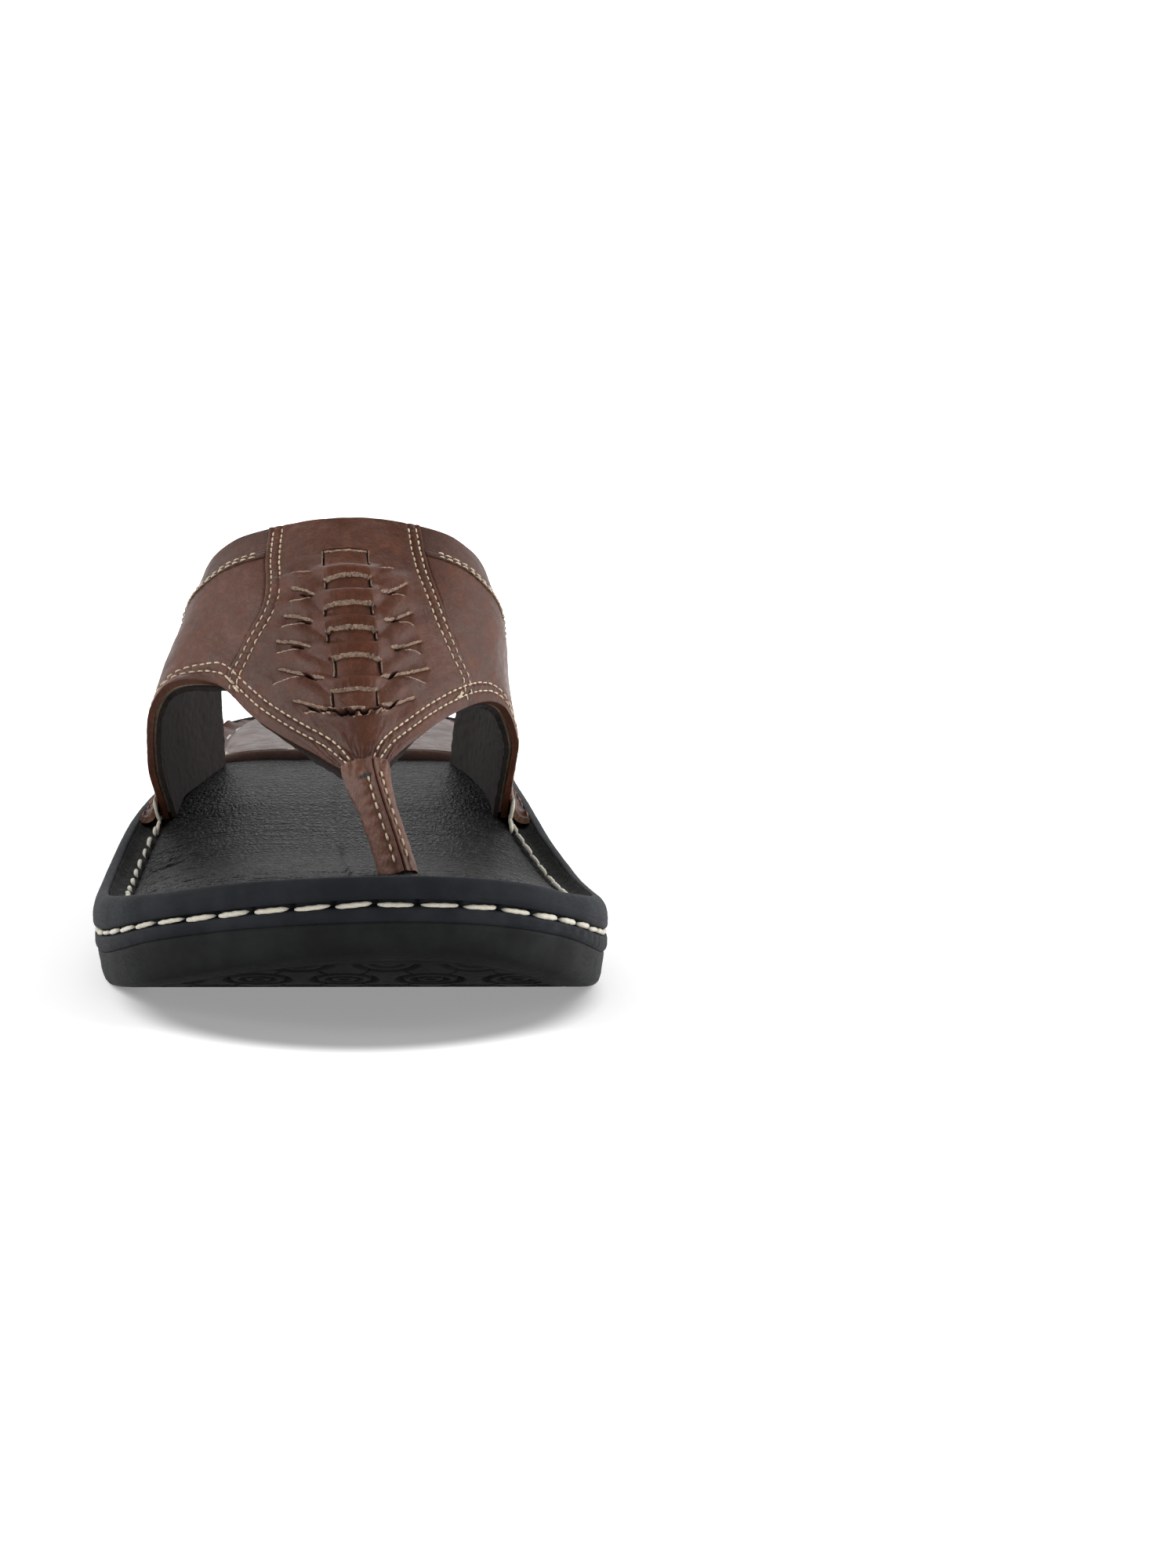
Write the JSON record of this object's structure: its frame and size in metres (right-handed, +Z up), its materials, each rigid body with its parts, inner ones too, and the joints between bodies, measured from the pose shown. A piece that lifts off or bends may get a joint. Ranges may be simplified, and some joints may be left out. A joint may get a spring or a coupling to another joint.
{
  "type": "flip flop",
  "caption": "Leather toe-post sandal for the right foot, with a woven-slit vamp, padded footbed and rolled moulded sole.",
  "frame": {"origin": "on the ground under the middle of the sole's overall box", "axes": "+Z up, -Y towards the toe, +Y towards the heel, +X towards the big-toe side"},
  "size_m": [0.1074, 0.2898, 0.09],
  "materials": {
    "tread_rubber": "satin moulded rubber",
    "midsole_rubber": "satin moulded rubber with fine parting lines",
    "sole_thread": "thick waxed pale thread",
    "insole_board": "pressed fibre board",
    "cushion_foam": "open-cell foam",
    "footbed_leather": "soft black leather with fine grain and puckers at the stitching",
    "margin_black": "dark napped strip",
    "margin_brown": "brown leather with a pale raw edge",
    "heel_leather": "smooth brown leather, soft sheen",
    "upper_leather": "waxed pull-up brown leather, redder at the middle and greyer at the sides",
    "collar_leather": "waxed pull-up brown leather",
    "post_leather": "thin wrapped brown leather",
    "interlining": "woven interlining",
    "lining_black": "napped dark lining",
    "webbing": "woven webbing",
    "anchor_plastic": "moulded plastic",
    "trim_thread": "twisted beige thread"
  },
  "bodies": {
    "root": {"outsole": "tread_rubber", "midsole": "midsole_rubber", "sidewall_stitch": "sole_thread", "insole_board": "insole_board", "footbed_foam": "cushion_foam", "footbed_cover": "footbed_leather", "footbed_margin": "margin_black", "heel_margin": "margin_brown", "heel_pad": "heel_leather", "heel_pad_stitch": "trim_thread", "footbed_stitch": "sole_thread", "toe_post_anchor": "anchor_plastic", "toe_post_core": "webbing", "toe_post_cover": "post_leather", "toe_post_stitch": "trim_thread", "lateral_margin": "margin_brown", "medial_margin": "margin_brown", "vamp_panel": "upper_leather", "lateral_quarter": "upper_leather", "medial_quarter": "upper_leather", "lateral_collar": "collar_leather", "medial_collar": "collar_leather", "upper_backing": "interlining", "upper_lining": "lining_black", "weave_strip": "upper_leather", "vamp_seam_stitch": "trim_thread", "collar_seam_stitch": "trim_thread", "front_edge_stitch": "trim_thread"}
  },
  "joints": []
}
